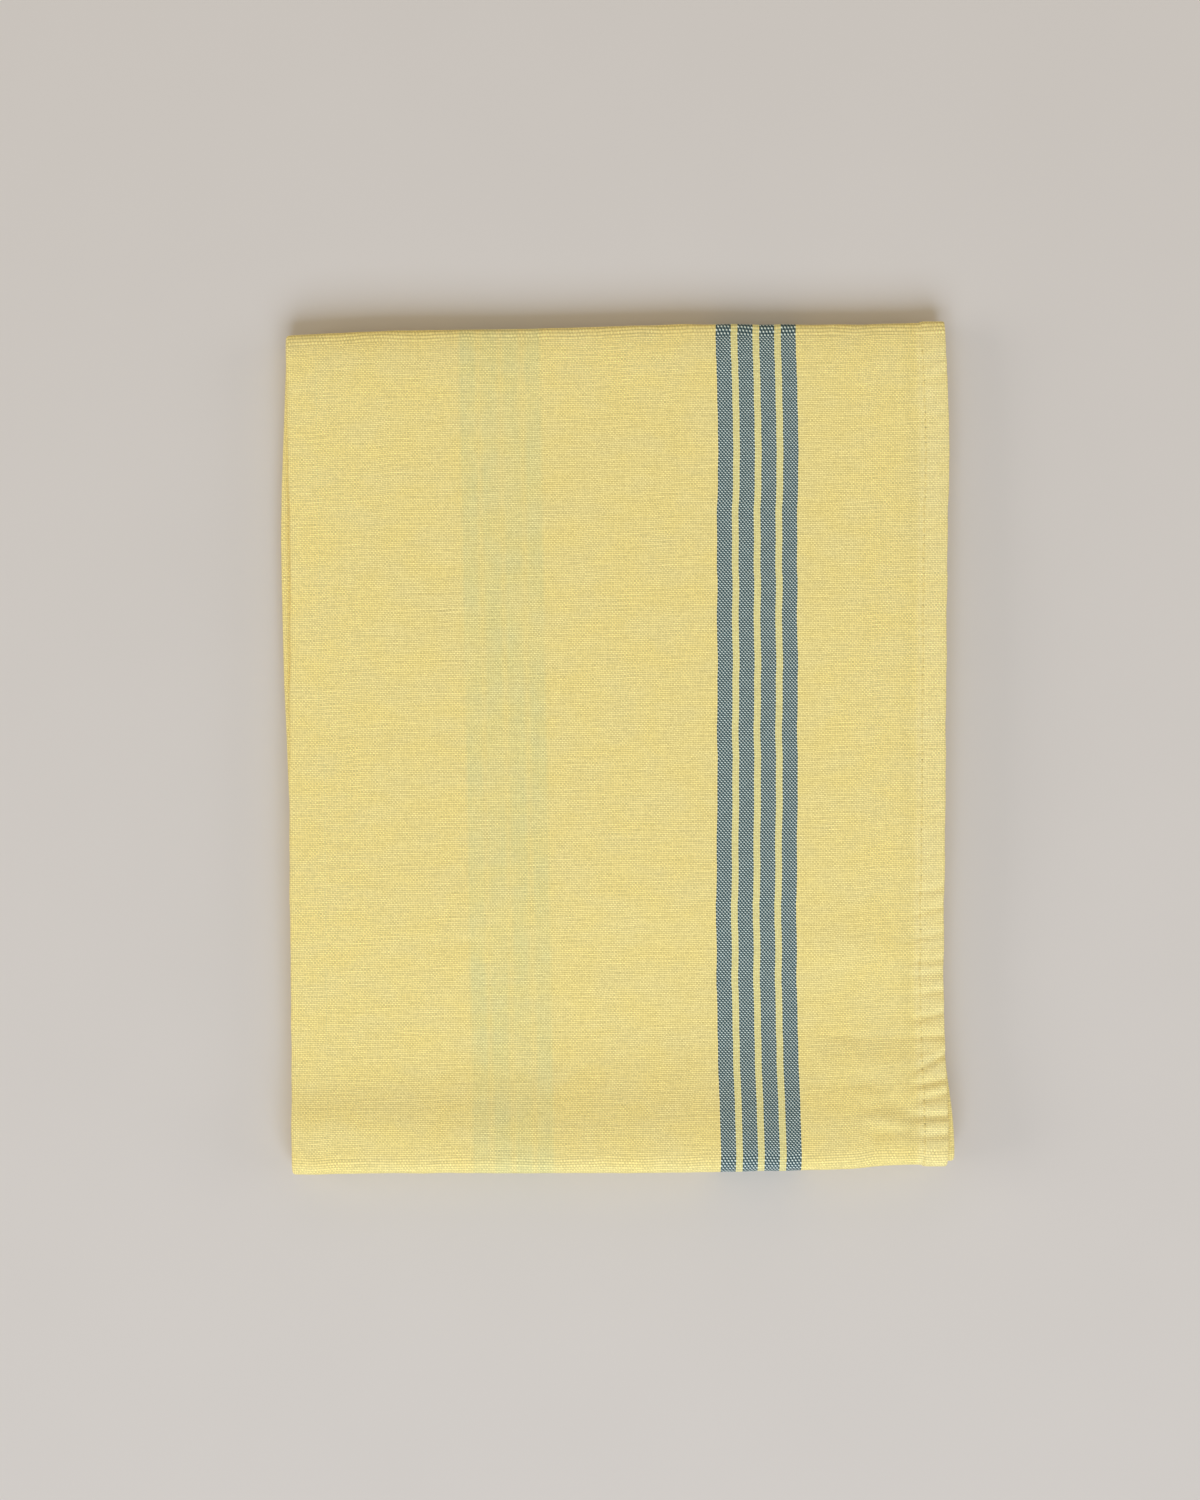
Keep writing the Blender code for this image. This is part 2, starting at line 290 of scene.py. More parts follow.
def rows_along():
    """The cloth along its length, from the lowest bundle's free end to the inner bundle's."""
    near_radius, far_radius = (TOP - LOWEST) / 2, (TOP - INNER) / 2
    near_turn = -HALF_LENGTH + near_radius + REACH
    far_turn = HALF_LENGTH - far_radius - REACH
    end_cuts = ROUNDING + HEM_CUTS[::3]
    lowest = [LOWEST_END - cut for cut in end_cuts]
    lowest += evenly(lowest[-1], near_turn, HIDDEN_ROWS)
    inner = [INNER_END + cut for cut in end_cuts][::-1]
    inner = evenly(far_turn, inner[0], HIDDEN_ROWS) + inner
    top = evenly(near_turn, CREASED_END, CREASED_ROWS) + [CREASED_END]
    top += evenly(CREASED_END, ROLL_START, PLAIN_ROWS) + [ROLL_START]
    top += evenly(ROLL_START, far_turn, ROLL_ROWS)
    near = half_turn(near_turn, LOWEST + near_radius, near_radius, -pi / 2, END_TURN_STEPS, NEAR_SQUARE)
    far = half_turn(far_turn, INNER + far_radius, far_radius, pi / 2, END_TURN_STEPS, FAR_SQUARE)
    # each run of rows: its places, the edges that it starts and ends with, and at its start and end how far
    # it is on top and what the hem rises
    runs = [
        (straight(lowest, LOWEST, -1.0), LOWEST_EDGES, LOWEST_EDGES, (0, 0), (-0.0002, -0.0002)),
        (near, LOWEST_EDGES, TOP_EDGES, (0, 1), (-0.0002, 0.0003)),
        (straight(top, TOP, 1.0), TOP_EDGES, TOP_EDGES, (1, 1), (0.0002, 0.0002)),
        (far, TOP_EDGES, INNER_EDGES, (1, 0), (0.0004, -0.0001)),
        (straight(inner, INNER, -1.0), INNER_EDGES, INNER_EDGES, (0, 0), (-0.0001, -0.0001)),
    ]
    rows = []
    for places, before, after, on_top, hem_rise in runs:
        for k, place in enumerate(places):
            share = k / (len(places) - 1)
            last = rows[-1] if rows else None
            step = hypot(place.at - last.place.at, place.height - last.place.height) if last else 0.0
            rows.append(Row(
                place=place,
                edge=blend(edges_at(before, place.at), edges_at(after, place.at), share),
                on_top=on_top[0] + (on_top[1] - on_top[0]) * share,
                hem_rise=hem_rise[0] + (hem_rise[1] - hem_rise[0]) * share,
                from_end=0.0,
                along=last.along + step if last else 0.0,
            ))
    length = rows[-1].along
    return [row._replace(from_end=min(row.along, length - row.along)) for row in rows]


def half_thickness(from_side, from_end):
    """Half the cloth's thickness: more on a hem, round at its turned edge, pinched by the stitches."""
    nearest = min(from_side, from_end)
    on_hem = 1 - ramp(HEM_WIDTH - HEM_STEP / 2, HEM_WIDTH + HEM_STEP / 2, nearest)
    half = (SINGLE + (HEM_CLOTH - SINGLE) * on_hem) / 2
    half -= PINCH * exp(-((nearest - SEAM) / PINCH_WIDTH) ** 2)
    if nearest < half:
        half = max(sqrt(half ** 2 - (half - nearest) ** 2), half * BLUNT)
    return half


def pucker(y, from_hem):
    """The hem's small folds: each dips from the seam to the edge, and the cloth swells between them."""
    outward = 1 - from_hem / SEAM
    strength = 1 - ramp(PUCKERS_FADE, PUCKERS_END, from_hem)
    total = 0.0
    for p in PUCKERS:
        away = abs(y - p.y - p.rise * outward)
        if away < PUCKER_REACH:
            dip = exp(-(away / PUCKER_WIDTH) ** 2)
            dip -= SWELL * exp(-((away - SWELL_PLACE) / SWELL_WIDTH) ** 2)
            total -= p.depth * dip * (PUCKER_AT_SEAM + PUCKER_GROWS * outward)
    return total * strength


def crease(x, y):
    """What the creases of the top layer add to its height."""
    total = 0.0
    for c in CREASES:
        run_x, run_y = c.x1 - c.x0, c.y1 - c.y0
        length = hypot(run_x, run_y)
        share = ((x - c.x0) * run_x + (y - c.y0) * run_y) / length ** 2
        if -CREASE_FADE < share < 1 + CREASE_FADE:
            off = ((x - c.x0) * run_y - (y - c.y0) * run_x) / length
            off += CREASE_WAVER * bumpy(x, y, CREASE_WAVER_SPACING, 5.0)
            started = ramp(-CREASE_FADE, CREASE_FADE, share)
            ended = ramp(1 - CREASE_FADE, 1 + CREASE_FADE, share)
            total += c.height * (started * (1 - ended)) * exp(-(off / c.width) ** 2)
    return total


def hills(x, y, kind):
    return kind.height * bumpy(x, y * HILL_SHAPE, kind.spacing, kind.seed)


def crumple(x, y):
    """What the soft unevenness adds to the height of the top layer."""
    corner = exp(-((x - CORNER_X) / CORNER_WIDTH) ** 2 - ((y - CORNER_Y) / CORNER_LENGTH) ** 2)
    fine = sum(hills(x, y, kind) for kind in FINE_HILLS)
    return hills(x, y, BROAD_HILLS) + fine * (1 + CORNER_MORE * corner)


def loft(x, y, folds):
    """What the top lies above a flat stack."""
    trough = TROUGH_MIDDLE + TROUGH_SKEW * x
    rolls = LEFT_ROLL * exp((-SIDE_ROLL_EDGE - x) / SIDE_ROLL_REACH)
    rolls += RIGHT_ROLL * exp((x - SIDE_ROLL_EDGE) / SIDE_ROLL_REACH)
    if y > trough:
        share = min((y - trough) / TROUGH_FAR_SIDE, 1.0)
        rolls += folds.far_roll * exp((y - folds.far) / FAR_ROLL_REACH)
        rolls += folds.far_fall * ramp(FAR_FALL_START, folds.far, y)
        return LOFT * (1 - cos(pi * share)) / 2 - rolls
    share = min((trough - y) / (trough - folds.near_ridge), 1.0)
    return folds.near_loft * (1 - cos(pi * share ** NEAR_RISE_LATE)) / 2 - rolls


def settle(x, y, z):
    """From the plain folded stack to the towel as it lies."""
    folds = EndFolds(x, *[read_along(END_FOLDS, "x", name, x) for name in EndFolds._fields[1:]])
    near = folds.near + NEAR_WAVER * bumpy(x, 0.0, END_WAVER_SPACING, 1.0)
    far = folds.far + FAR_WAVER * bumpy(x, 0.0, END_WAVER_SPACING, 6.0)
    y = near + (far - near) * (y + HALF_LENGTH) / (2 * HALF_LENGTH)
    return x, y, z * (1 + loft(x, y, folds) / STACK)


rows = rows_along()
sections = []
for row in rows:
    hem = row.edge.hem + HEM_WAVER * bumpy(row.along, 0.0, HEM_WAVER_SPACING, 1.0)
    hem += FINE_HEM_WAVER * bumpy(row.along, 0.0, FINE_HEM_WAVER_SPACING, 2.0)
    left_fold = row.edge.left_fold + LEFT_WAVER * bumpy(row.along, 0.0, LEFT_WAVER_SPACING, 8.0)
    sections.append(section_at(row.edge._replace(hem=hem, left_fold=left_fold)))
column_count, row_count = len(sections[0]), len(rows)

reached = []              # for each row, how far along the cloth's width each column lies
for section in sections:
    steps = [0.0]
    for a, b in zip(section, section[1:]):
        steps.append(steps[-1] + hypot(b.at - a.at, b.height - a.height))
    reached.append(steps)

cloth = bmesh.new()
uv = cloth.loops.layers.uv.new("cloth")
from_hem_layer = cloth.verts.layers.float.new("from_hem")
stripe_layer = cloth.verts.layers.float.new("stripe_place")
beneath_layer = cloth.verts.layers.float.new("beneath")
bmesh.ops.create_grid(cloth, x_segments=column_count - 1, y_segments=row_count - 1, size=0.5)
raised = bmesh.ops.extrude_face_region(cloth, geom=cloth.faces[:], use_keep_orig=True)["geom"]
outer_points = {item for item in raised if isinstance(item, bmesh.types.BMVert)}
bmesh.ops.translate(cloth, verts=list(outer_points), vec=(0.0, 0.0, 1.0))
bmesh.ops.recalc_face_normals(cloth, faces=cloth.faces)

top_start = column_count - len(ROUNDING + HEM_CUTS) - (TOP_STEPS - 1)
flat_place = {}
surface = {}              # (row, column) to the point of the cloth's outer face
for point in cloth.verts:
    column = round((point.co.x + 0.5) * (column_count - 1))
    row_number = round((point.co.y + 0.5) * (row_count - 1))
    row, across, steps = rows[row_number], sections[row_number][column], reached[row_number]
    outward = 1 if point in outer_points else -1
    from_shown = steps[-1] - steps[column]
    from_side = min(steps[column], from_shown)
    layer_side = (across.height > SAME_LAYER) - (across.height < -SAME_LAYER)

    # the hem's own thickness goes to the free side of its layer
    rise = row.hem_rise * (1 - ramp(HEM_WIDTH - HEM_STEP, HEM_WIDTH, from_shown))
    rise -= END_HEM_RISE * layer_side * (1 - ramp(HEM_WIDTH - HEM_STEP, HEM_WIDTH, row.from_end))
    side = outward * half_thickness(from_side, row.from_end)
    x = across.at + side * across.out_at
    y = row.place.at
    if column >= top_start:
        from_fold = across.at - row.edge.left_fold
        shown = row.on_top * ramp(CREASES_START, CREASES_FULL, from_fold)
        rise += shown * (crumple(x, y) + crease(x, y) + pucker(y, from_shown))
    height = across.height + side * across.out_height + rise
    point.co = settle(x, y + height * row.place.out_at, row.place.height + height * row.place.out_height)

    lean = read_along(STRIPE_LEAN, "y", "by", y) * ramp(LEAN_START, LEAN_FULL, from_shown) * row.on_top
    beneath = across.at - row.edge.tucked_hem
    point[from_hem_layer] = from_side
    point[stripe_layer] = from_side - lean
    point[beneath_layer] = beneath if column >= top_start and beneath > 0 else NOTHING_BENEATH
    flat_place[point] = (from_shown, row.along)
    if outward == 1:
        surface[row_number, column] = point
for face in cloth.faces:
    for loop in face.loops:
        loop[uv].uv = flat_place[loop.vert]

# the towel's middle lies over the origin, as the solid's does
for axis in (0, 1):
    places = [point.co[axis] for point in cloth.verts]
    middle = (min(places) + max(places)) / 2
    for point in cloth.verts:
        point.co[axis] -= middle

cloth_mesh = bpy.data.meshes.new("towel_cloth")
cloth.normal_update()
# the seam on the cloth's outer face, row by row, and which way the face looks there
seam_columns = [k for k in range(top_start, column_count)
                if abs(reached[0][-1] - reached[0][k] - SEAM) < PINCH_WIDTH]
side_seam, side_out = [], []
for number in range(row_count):
    seam_points = [surface[number, k] for k in seam_columns]
    side_seam.append(sum((point.co for point in seam_points), Vector()) / len(seam_points))
    side_out.append(seam_points[0].normal.copy())
cloth.to_mesh(cloth_mesh)
cloth.free()
cloth_mesh.shade_smooth()
towel = bpy.data.objects.new("towel_cloth", cloth_mesh)
bpy.context.collection.objects.link(towel)

# ---- its yarn: yellow in the weft and in most of the warp, with four blue-grey warp stripes near each side
WARP = 0.000514           # from one warp thread to the next
WEFT = 0.00058            # from one weft thread to the next
STRIPE_START = 88         # threads from the hem's edge to the first stripe
STRIPE_THREADS = 9
STRIPE_EVERY = 13
STRIPES = 4
STRIPES_END = STRIPE_EVERY * (STRIPES - 1) + STRIPE_THREADS     # threads from the first stripe's start
DEEP_YELLOW = (0.875, 0.712, 0.250)
PALE_YELLOW = (0.848, 0.712, 0.286)
YELLOW_WEFT = (0.882, 0.728, 0.276)
WEFT_ON_BLUE = (0.635, 0.710, 0.640)
BLUE_WARP = (0.046, 0.093, 0.100)
GREENISH_WARP = (0.745, 0.684, 0.300)     # the yellow warp between two stripes
SHOW_THROUGH = (0.13, 0.52, 0.40)
PALE_HEM = (1.0, 0.93, 0.60)
WEFT_WANDER = 0.0010      # the weft strays over this width
WARP_WANDER = 0.3         # and the warp over this share of it
HOLE_RIM, HOLE_MIDDLE = 0.00042, 0.00012     # a needle hole's radius, and that of its darkest part

# distances from the hem's edge: where a tone isn't seen yet, and where all of it is
PALE_RANGE = (HEM_WIDTH + 0.0024, HEM_WIDTH + 0.0004)
# the painted shade beside the hem sets in from the hem's side and fades out towards the field
SHADE_FROM_HEM = (HEM_WIDTH + 0.0018, HEM_WIDTH + 0.0032)
SHADE_FROM_FIELD = (HEM_WIDTH + 0.0070, HEM_WIDTH + 0.0045)


class Nodes:
    """Shorthand for adding and joining the nodes of one tree."""

    def __init__(self, tree):
        self.tree = tree

    def add(self, kind, **settings):
        node = self.tree.nodes.new(kind)
        for name, value in settings.items():
            setattr(node, name, value)
        return node

    def set(self, socket, value):
        if isinstance(value, bpy.types.NodeSocket):
            self.tree.links.new(value, socket)
        else:
            socket.default_value = value

    def math(self, operation, *values):
        node = self.add("ShaderNodeMath", operation=operation)
        for socket, value in zip(node.inputs, values):
            self.set(socket, value)
        return node.outputs[0]

    def product(self, first, *others):
        for other in others:
            first = self.math("MULTIPLY", first, other)
        return first

    def plus_share(self, value, amount, base):
        """The base, and this amount of the value."""
        return self.math("MULTIPLY_ADD", value, amount, base)

    def centred(self, value):
        return self.math("SUBTRACT", value, 0.5)

    def alternating(self, number):
        """1 at every even number and -1 at every odd one, with a wave between them."""
        return self.math("COSINE", self.math("MULTIPLY", number, pi))

    def between(self, value, low, high):
        """0 at low and 1 at high, with soft ends."""
        node = self.add("ShaderNodeMapRange", interpolation_type="SMOOTHSTEP")
        self.set(node.inputs["Value"], value)
        self.set(node.inputs["From Min"], low)
        self.set(node.inputs["From Max"], high)
        return node.outputs["Result"]

    def mix(self, share, a, b, blend_type="MIX"):
        node = self.add("ShaderNodeMix", data_type="RGBA", blend_type=blend_type)
        for name, value in (("Factor_Float", share), ("A_Color", a), ("B_Color", b)):
            socket = next(s for s in node.inputs if s.identifier == name)
            self.set(socket, (*value, 1.0) if isinstance(value, tuple) else value)
        return next(s for s in node.outputs if s.identifier == "Result_Color")

    def noise(self, x, x_scale, y, y_scale, seed, detail=2.0):
        """Smooth noise of about 0 to 1, over x and y times their scales."""
        place = self.add("ShaderNodeCombineXYZ")
        self.set(place.inputs["X"], self.math("MULTIPLY", x, x_scale))
        self.set(place.inputs["Y"], self.math("MULTIPLY", y, y_scale))
        place.inputs["Z"].default_value = seed
        node = self.add("ShaderNodeTexNoise")
        node.inputs["Scale"].default_value = 1.0
        node.inputs["Detail"].default_value = detail
        self.set(node.inputs["Vector"], place.outputs[0])
        return node.outputs["Fac"]

    def speck(self, x, y):
        """A random value of 0 to 1 for each pair of whole numbers."""
        place = self.add("ShaderNodeCombineXYZ")
        self.set(place.inputs["X"], x)
        self.set(place.inputs["Y"], y)
        node = self.add("ShaderNodeTexWhiteNoise", noise_dimensions="2D")
        self.set(node.inputs["Vector"], place.outputs[0])
        return node.outputs["Value"]


def make_weave_group():
    """Plain weave from thread numbers: which thread lies on top, and how high the cloth stands there."""
    bend = 0.55               # a thread rises and dips by this share of its own height
    warp_lead = 0.75          # the warp stands this much higher than the weft
    corner_lead = 0.6         # neighbouring warp floats almost touch along one diagonal
    soft_edge = 0.12
    full_height = 0.645       # brings the highest thread to about 1
    group = bpy.data.node_groups.new("plain weave", "ShaderNodeTree")
    for name in ("Warp Number", "Weft Number"):
        group.interface.new_socket(name, in_out="INPUT", socket_type="NodeSocketFloat")
    for name in ("Warp On Top", "Height"):
        group.interface.new_socket(name, in_out="OUTPUT", socket_type="NodeSocketFloat")
    n = Nodes(group)
    inside, outside = n.add("NodeGroupInput"), n.add("NodeGroupOutput")
    warp, weft = inside.outputs["Warp Number"], inside.outputs["Weft Number"]
    warp_cell, weft_cell = n.math("FLOOR", warp), n.math("FLOOR", weft)

    def round_top(number, cell):
        off = n.centred(n.math("SUBTRACT", number, cell))
        return n.math("SUBTRACT", 1.0, n.product(off, off, 4.0))

    def over_and_under(number, cell):
        return n.alternating(n.math("ADD", n.centred(number), cell))

    warp_height = n.plus_share(over_and_under(weft, warp_cell), bend, round_top(warp, warp_cell))
    weft_height = n.plus_share(over_and_under(warp, weft_cell), -bend, round_top(weft, weft_cell))
    lead = n.math("ADD", n.math("SUBTRACT", warp_height, weft_height), warp_lead)
    corners = n.product(n.alternating(warp), n.alternating(weft))
    lead = n.plus_share(corners, corner_lead, lead)
    n.set(outside.inputs["Warp On Top"], n.between(lead, -soft_edge, soft_edge))
    n.set(outside.inputs["Height"], n.product(n.math("MAXIMUM", warp_height, weft_height), full_height))
    return group


weave_group = make_weave_group()


def uneven_yarn(n, across, along, warp_cell, weft_cell, weft, weft_long):
    """How much lighter (over 0) or darker each thread is, from place to place, with painted light and shade
    across each weft thread.
    """
    weft_short = n.noise(across, 420.0, weft_cell, 5.77, seed=4.0, detail=1.0)
    warp_long = n.noise(along, 100.0, warp_cell, 5.17, seed=2.0, detail=1.0)

    # in places every other weft thread stands out as a rib, or every other crossing as a diagonal
    ribbed = n.centred(n.noise(across, 75.0, weft_cell, 0.22, seed=8.0, detail=1.0))
    ribs = n.product(ribbed, n.alternating(weft_cell))
    twilled = n.centred(n.noise(warp_cell, 0.16, weft_cell, 0.18, seed=9.0, detail=1.0))
    diagonals = n.product(twilled, n.alternating(n.math("ADD", warp_cell, weft_cell)))

    # each weft thread is a fine bright line, broken where it is thin: a painted highlight along its middle
    # and painted shade between threads
    from_middle = n.centred(n.math("FRACT", weft))
    lines = n.product(n.alternating(n.product(from_middle, 2.0)), n.between(weft_short, 0.2, 0.7))

    yarn = 0.0
    for part, amount in (
        (diagonals, 0.30),
        (ribs, 0.36),
        (lines, 0.18),
        (n.centred(weft_long), 0.06),
        (n.centred(weft_short), 0.14),
        (n.centred(warp_long), 0.03),
        (n.centred(n.speck(warp_cell, weft_cell)), 0.14),
    ):
        yarn = n.plus_share(part, amount, yarn)
    return yarn


def stripes(n, warp_cell):
    """Masks of the stripes with the warp between them, and of the blue-grey warp alone.

    They go by thread number, so that a stripe's edge steps from thread to thread.
    """
    number = n.math("SUBTRACT", warp_cell, STRIPE_START)
    started = n.math("GREATER_THAN", number, -0.5)
    in_group = n.product(started, n.math("LESS_THAN", number, STRIPES_END - 0.5))
    in_stripe = n.math("LESS_THAN", n.math("FLOORED_MODULO", number, STRIPE_EVERY), STRIPE_THREADS - 0.5)
    return in_group, n.product(in_group, in_stripe)


def stripes_beneath(n, across, along, beneath):
    """How strongly the stripes of the layer beneath show: faintly, with soft edges, and in patches."""
    number = n.math("SUBTRACT", n.math("DIVIDE", beneath, WARP), STRIPE_START)
    in_group = n.product(n.between(number, -2.5, 1.5),
                         n.between(number, STRIPES_END + 2.5, STRIPES_END - 1.5))
    in_stripe = n.math("FLOORED_MODULO", n.math("ADD", number, 2.0), STRIPE_EVERY)
    stripe = n.product(n.between(in_stripe, 0.0, 3.5),
                       n.between(in_stripe, STRIPE_THREADS + 4.0, STRIPE_THREADS + 0.5))
    patches = n.between(n.noise(across, 90.0, along, 40.0, seed=6.0), 0.3, 0.7)
    return n.product(in_group, n.plus_share(stripe, 0.65, 0.35), n.plus_share(patches, 0.08, 0.04))


def needle_holes(n, along, from_hem):
    """1 in the middle of each needle hole of the seams."""
    in_stitch = n.centred(n.math("FRACT", n.math("DIVIDE", along, STITCH_SPACING)))
    off_along = n.product(in_stitch, STITCH_SPACING)
    off_across = n.math("SUBTRACT", from_hem, SEAM)
    away = n.math("SQRT", n.math("ADD", n.product(off_along, off_along), n.product(off_across, off_across)))
    return n.between(away, HOLE_RIM, HOLE_MIDDLE)


def make_cloth_material():
    material = bpy.data.materials.new("striped cotton")
    material.use_nodes = True
    n = Nodes(material.node_tree)
    shader = material.node_tree.nodes["Principled BSDF"]

    split = n.add("ShaderNodeSeparateXYZ")
    n.set(split.inputs[0], n.add("ShaderNodeUVMap", uv_map="cloth").outputs[0])
    across, along = split.outputs["X"], split.outputs["Y"]
    from_hem, stripe_place, beneath = [
        n.add("ShaderNodeAttribute", attribute_name=name).outputs["Fac"]
        for name in ("from_hem", "stripe_place", "beneath")
    ]

    # the threads wander a little, the weft more than the warp
    drift = n.product(n.centred(n.noise(across, 60.0, along, 25.0, seed=0.0)), WEFT_WANDER)
    warp = n.math("DIVIDE", n.plus_share(drift, WARP_WANDER, stripe_place), WARP)
    weft = n.math("DIVIDE", n.math("ADD", along, drift), WEFT)
    warp_cell, weft_cell = n.math("FLOOR", warp), n.math("FLOOR", weft)
    weave = n.add("ShaderNodeGroup")
    weave.node_tree = weave_group
    n.set(weave.inputs["Warp Number"], warp)
    n.set(weave.inputs["Weft Number"], weft)
    warp_on_top, height = weave.outputs["Warp On Top"], weave.outputs["Height"]
    weft_long = n.noise(across, 60.0, weft_cell, 7.31, seed=1.0, detail=1.0)
    yarn = uneven_yarn(n, across, along, warp_cell, weft_cell, weft, weft_long)
    holes = n.product(needle_holes(n, along, from_hem), n.between(weft_long, 0.35, 0.75))

    # cloudy dyeing, from a deeper to a paler yellow, and the stripes
    in_group, blue = stripes(n, warp_cell)
    clouds = n.noise(across, 75.0, along, 110.0, seed=3.0, detail=3.0)
    yellow_warp = n.mix(n.between(clouds, 0.30, 0.70), DEEP_YELLOW, PALE_YELLOW)
    warp_colour = n.mix(blue, n.mix(in_group, yellow_warp, GREENISH_WARP), BLUE_WARP)
    colour = n.mix(warp_on_top, n.mix(blue, YELLOW_WEFT, WEFT_ON_BLUE), warp_colour)
    colour = n.mix(stripes_beneath(n, across, along, beneath), colour, SHOW_THROUGH)

    # the hem has three layers of cloth, so it is paler; beside it a painted shade darkens the cloth a
    # little, where it dips from the hem's step
    colour = n.mix(n.product(n.between(from_hem, *PALE_RANGE), 0.11), colour, PALE_HEM)
    # painted shade in the dip beside the hem's step
    beside = n.product(n.between(from_hem, *SHADE_FROM_HEM), n.between(from_hem, *SHADE_FROM_FIELD))

    # painted shade darkens the cloth between its threads and in its needle holes, and the raised yellow
    # warp is painted lighter where it lies on top and the lower weft darker: the light and shade of the
    # weave
    crossing = n.product(n.math("SUBTRACT", warp_on_top, 0.72), n.math("SUBTRACT", 1.0, blue))
    tone = n.product(
        n.plus_share(beside, -0.025, 1.0),
        n.math("ADD", yarn, 1.0),
        n.plus_share(height, 0.50, 0.688),
        n.plus_share(crossing, 0.19, 1.0),
        n.plus_share(holes, -0.42, 1.0),
    )
    grey = n.add("ShaderNodeCombineColor")
    for socket in grey.inputs:
        n.set(socket, tone)
    n.set(shader.inputs["Base Color"], n.mix(1.0, colour, grey.outputs[0], "MULTIPLY"))

    bump = n.add("ShaderNodeBump")
    bump.inputs["Distance"].default_value = 0.00009
    bump.inputs["Strength"].default_value = 0.8
    n.set(bump.inputs["Height"], n.plus_share(holes, -1.5, n.plus_share(yarn, 0.9, height)))
    n.set(shader.inputs["Normal"], bump.outputs[0])
    n.set(shader.inputs["Roughness"], n.plus_share(height, -0.06, 0.95))
    shader.inputs["Sheen Weight"].default_value = 0.06
    shader.inputs["Sheen Roughness"].default_value = 0.6
    shader.inputs["Specular IOR Level"].default_value = 0.25
    return material


cloth_mesh.materials.append(make_cloth_material())
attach(towel, "root")
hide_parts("towel")

# ==== The stitches ==================================================================================
# A lockstitch in yellow cotton thread holds the side hem down. Each stitch dips into the cloth at its
# needle holes, 2.4 mm apart, and lies in the small groove that it pulls.

STITCH_LENGTH = 0.00185
STITCH_RADIUS = 0.00016
STITCH_HEIGHT = 0.00006   # of its middle over the cloth
# the thread's colour in the painted shade of its twist's grooves, and on its painted-lit crowns
THREAD_SHADED, THREAD_LIT = (0.84, 0.69, 0.26), (0.92, 0.79, 0.35)
THREAD_TWIST = 9000.0     # how closely the ply follows, in radians for each metre

thread = bmesh.new()
travelled = 0.0
next_stitch = 2 * STITCH_SPACING
for k in range(row_count - 1):
    start, end = side_seam[k], side_seam[k + 1]
    run = rows[k + 1].along - rows[k].along
    while run > 0 and next_stitch < travelled + run:
        share = (next_stitch - travelled) / run
        out = side_out[k].lerp(side_out[k + 1], share).normalized()
        ahead = (end - start).normalized()
        sideways = out.cross(ahead).normalized()
        middle = start.lerp(end, share) + out * STITCH_HEIGHT
        bead = bmesh.ops.create_uvsphere(thread, u_segments=6, v_segments=4, radius=1.0)["verts"]
        for point in bead:
            place = point.co.copy()
            point.co = (middle + ahead * place.z * STITCH_LENGTH / 2 + sideways * place.x * STITCH_RADIUS
                        + out * place.y * STITCH_RADIUS)
        next_stitch += STITCH_SPACING
    travelled += run
bmesh.ops.recalc_face_normals(thread, faces=thread.faces)
thread_mesh = bpy.data.meshes.new("hem_stitches")
thread.to_mesh(thread_mesh)
thread.free()
thread_mesh.shade_smooth()
stitches = bpy.data.objects.new("hem_stitches", thread_mesh)
bpy.context.collection.objects.link(stitches)


def make_thread_material():
    material = bpy.data.materials.new("sewing thread")
    material.use_nodes = True
    n = Nodes(material.node_tree)
    shader = material.node_tree.nodes["Principled BSDF"]
    split = n.add("ShaderNodeSeparateXYZ")
    n.set(split.inputs[0], n.add("ShaderNodeTexCoord").outputs["Object"])
    # the ply's twist: painted shade in its grooves and a painted highlight on its crowns, with a bump to
    # match
    twist = n.product(n.math("ADD", split.outputs["X"], split.outputs["Y"]), THREAD_TWIST)
    ply = n.plus_share(n.math("SINE", twist), 0.5, 0.5)
    n.set(shader.inputs["Base Color"], n.mix(ply, THREAD_SHADED, THREAD_LIT))
    bump = n.add("ShaderNodeBump")
    bump.inputs["Distance"].default_value = 0.00004
    n.set(bump.inputs["Height"], ply)
    n.set(shader.inputs["Normal"], bump.outputs[0])
    shader.inputs["Roughness"].default_value = 0.8
    shader.inputs["Specular IOR Level"].default_value = 0.3
    return material


thread_mesh.materials.append(make_thread_material())
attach(stitches, "root")

# ==== The surface that it lies on ===================================================================
# A plain pale sheet of matte card, wide enough to fill the view from any side.

CARD_HALF = 3.0
CARD_BELOW = 0.0003       # clear of the cloth's unevenness
CARD_DARK, CARD_LIGHT = (0.665, 0.619, 0.570), (0.685, 0.638, 0.588)
CARD_MOTTLE = 18.0        # its patches are some centimetres wide

card = bmesh.new()
bmesh.ops.create_grid(card, x_segments=1, y_segments=1, size=CARD_HALF)
bmesh.ops.translate(card, verts=card.verts[:], vec=(0.0, 0.0, -CARD_BELOW))
floor_mesh = bpy.data.meshes.new("floor")
card.to_mesh(floor_mesh)
card.free()
floor = bpy.data.objects.new("floor", floor_mesh)
bpy.context.collection.objects.link(floor)


def make_card_material():
    material = bpy.data.materials.new("pale card")
    material.use_nodes = True
    n = Nodes(material.node_tree)
    shader = material.node_tree.nodes["Principled BSDF"]
    split = n.add("ShaderNodeSeparateXYZ")
    n.set(split.inputs[0], n.add("ShaderNodeTexCoord").outputs["Object"])
    mottle = n.noise(split.outputs["X"], CARD_MOTTLE, split.outputs["Y"], CARD_MOTTLE, seed=0.0)
    n.set(shader.inputs["Base Color"], n.mix(mottle, CARD_DARK, CARD_LIGHT))
    shader.inputs["Roughness"].default_value = 0.95
    shader.inputs["Specular IOR Level"].default_value = 0.1
    return material


floor_mesh.materials.append(make_card_material())

# ==== The light =====================================================================================
# One broad soft light from the near side, a little cool, three fainter ones from the far side, the left
# and the right, and an even warm light from all round.

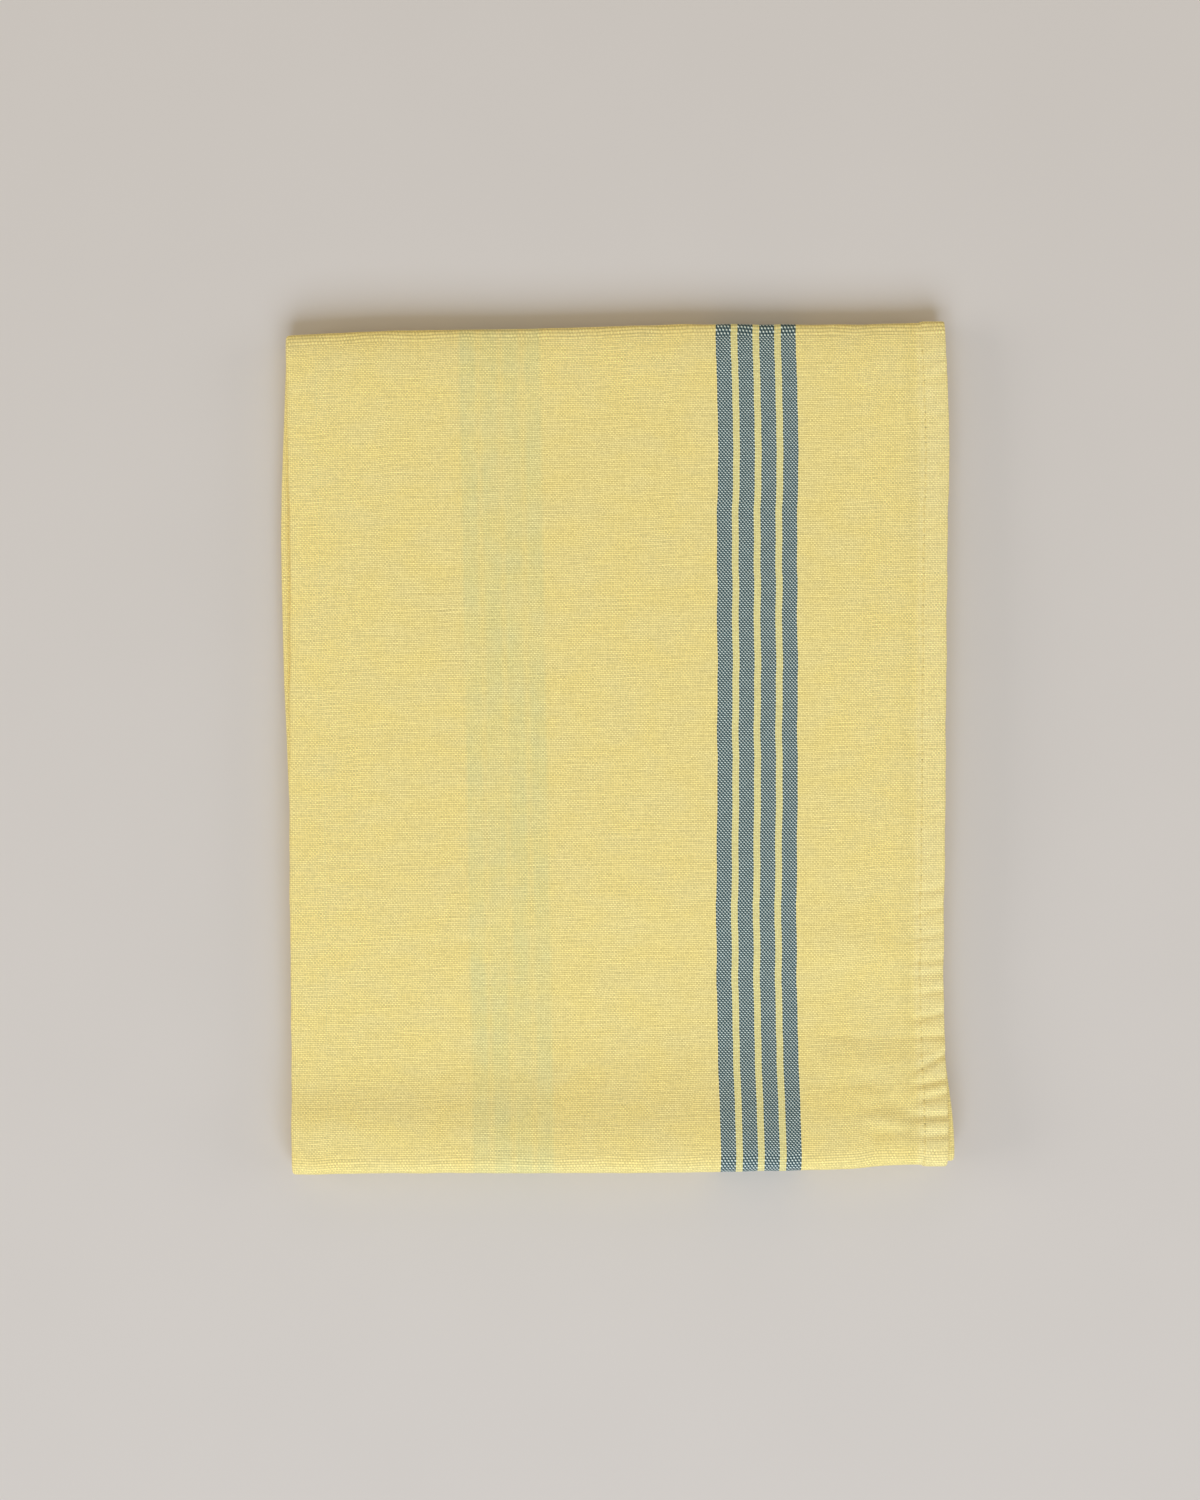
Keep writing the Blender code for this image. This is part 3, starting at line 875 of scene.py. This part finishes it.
# each looks at the towel: the side that it stands on (x, y), its distance and height as an angle, and how
# far it is moved along x
SoftLight = namedtuple("SoftLight", "name size power colour side distance elevation moved")
SOFT_LIGHTS = [
    SoftLight("key", (2.67, 2.24), 90.5, (0.68, 0.80, 1.0), (0, -1), 3.2, radians(45), 0.18),
    SoftLight("far fill", (3.0, 1.5), 12.0, (1.0, 0.88, 0.70), (0, 1), 3.5, radians(30), 0.0),
    SoftLight("left fill", (2.4, 1.4), 33.0, (0.95, 0.92, 0.90), (-1, 0), 3.5, radians(22), 0.0),
    SoftLight("right fill", (2.4, 1.4), 18.0, (0.95, 0.92, 0.90), (1, 0), 3.5, radians(22), 0.0),
]
ROOM_LIGHT = (0.366, 0.321, 0.242)

for lamp in SOFT_LIGHTS:
    light = bpy.data.lights.new(lamp.name, "AREA")
    light.shape = "RECTANGLE"
    light.size, light.size_y = lamp.size
    light.energy = lamp.power
    light.color = lamp.colour
    level = lamp.distance * cos(lamp.elevation)
    light_object = bpy.data.objects.new(lamp.name, light)
    light_object.location = (lamp.side[0] * level + lamp.moved, lamp.side[1] * level,
                             lamp.distance * sin(lamp.elevation))
    light_object.rotation_euler = (-light_object.location).to_track_quat("-Z", "Y").to_euler()
    bpy.context.collection.objects.link(light_object)

world = bpy.data.worlds.new("room")
world.use_nodes = True
world.node_tree.nodes["Background"].inputs["Color"].default_value = (*ROOM_LIGHT, 1.0)
world.node_tree.nodes["Background"].inputs["Strength"].default_value = 1.0
bpy.context.scene.world = world
bpy.context.scene.view_settings.view_transform = "Standard"

# ==== The camera ====================================================================================
# Straight above, as in the photograph, which takes in about 370 by 463 mm at the bundle on top.

VIEW_HEIGHT = 0.4627
VIEW_X, VIEW_Y = -0.0052, -0.0007     # the middle of the view
camera = bpy.data.cameras.new("camera")
camera.lens, camera.sensor_width = 85.0, 36.0
camera.clip_start, camera.clip_end = 0.01, 20.0
camera_object = bpy.data.objects.new("camera", camera)
distance = VIEW_HEIGHT * camera.lens / camera.sensor_width
camera_object.location = (VIEW_X, VIEW_Y, TOP + distance)
bpy.context.collection.objects.link(camera_object)
bpy.context.scene.camera = camera_object
